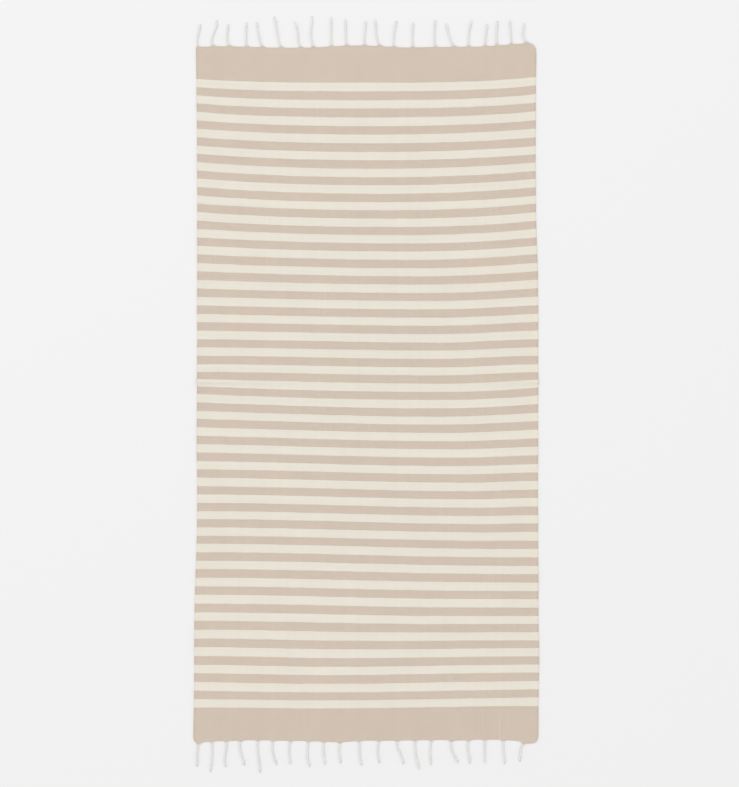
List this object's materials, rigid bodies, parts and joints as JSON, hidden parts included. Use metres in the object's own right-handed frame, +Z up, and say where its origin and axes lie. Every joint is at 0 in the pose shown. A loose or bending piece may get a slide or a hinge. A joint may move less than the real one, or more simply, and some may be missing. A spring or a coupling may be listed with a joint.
{
  "type": "beach towel",
  "caption": "Flat-woven cotton beach towel laid out flat, striped across, with plain end bands and a twisted fringe at both ends.",
  "frame": {"origin": "on the floor under the middle of the whole towel, fringes included", "axes": "+Y along the towel's length towards its head end, +X along its width, +Z up from the floor it lies on"},
  "size_m": [0.895, 1.956, 0.0065],
  "materials": {
    "striped_cotton": "matt plain-weave cotton, beige and cream stripes across, a wide beige band at each end",
    "twisted_cotton": "matt off-white cotton yarn, twisted into strands"
  },
  "bodies": {
    "root": {"cloth": "striped_cotton", "fringe_head": "twisted_cotton", "fringe_foot": "twisted_cotton"}
  },
  "joints": []
}
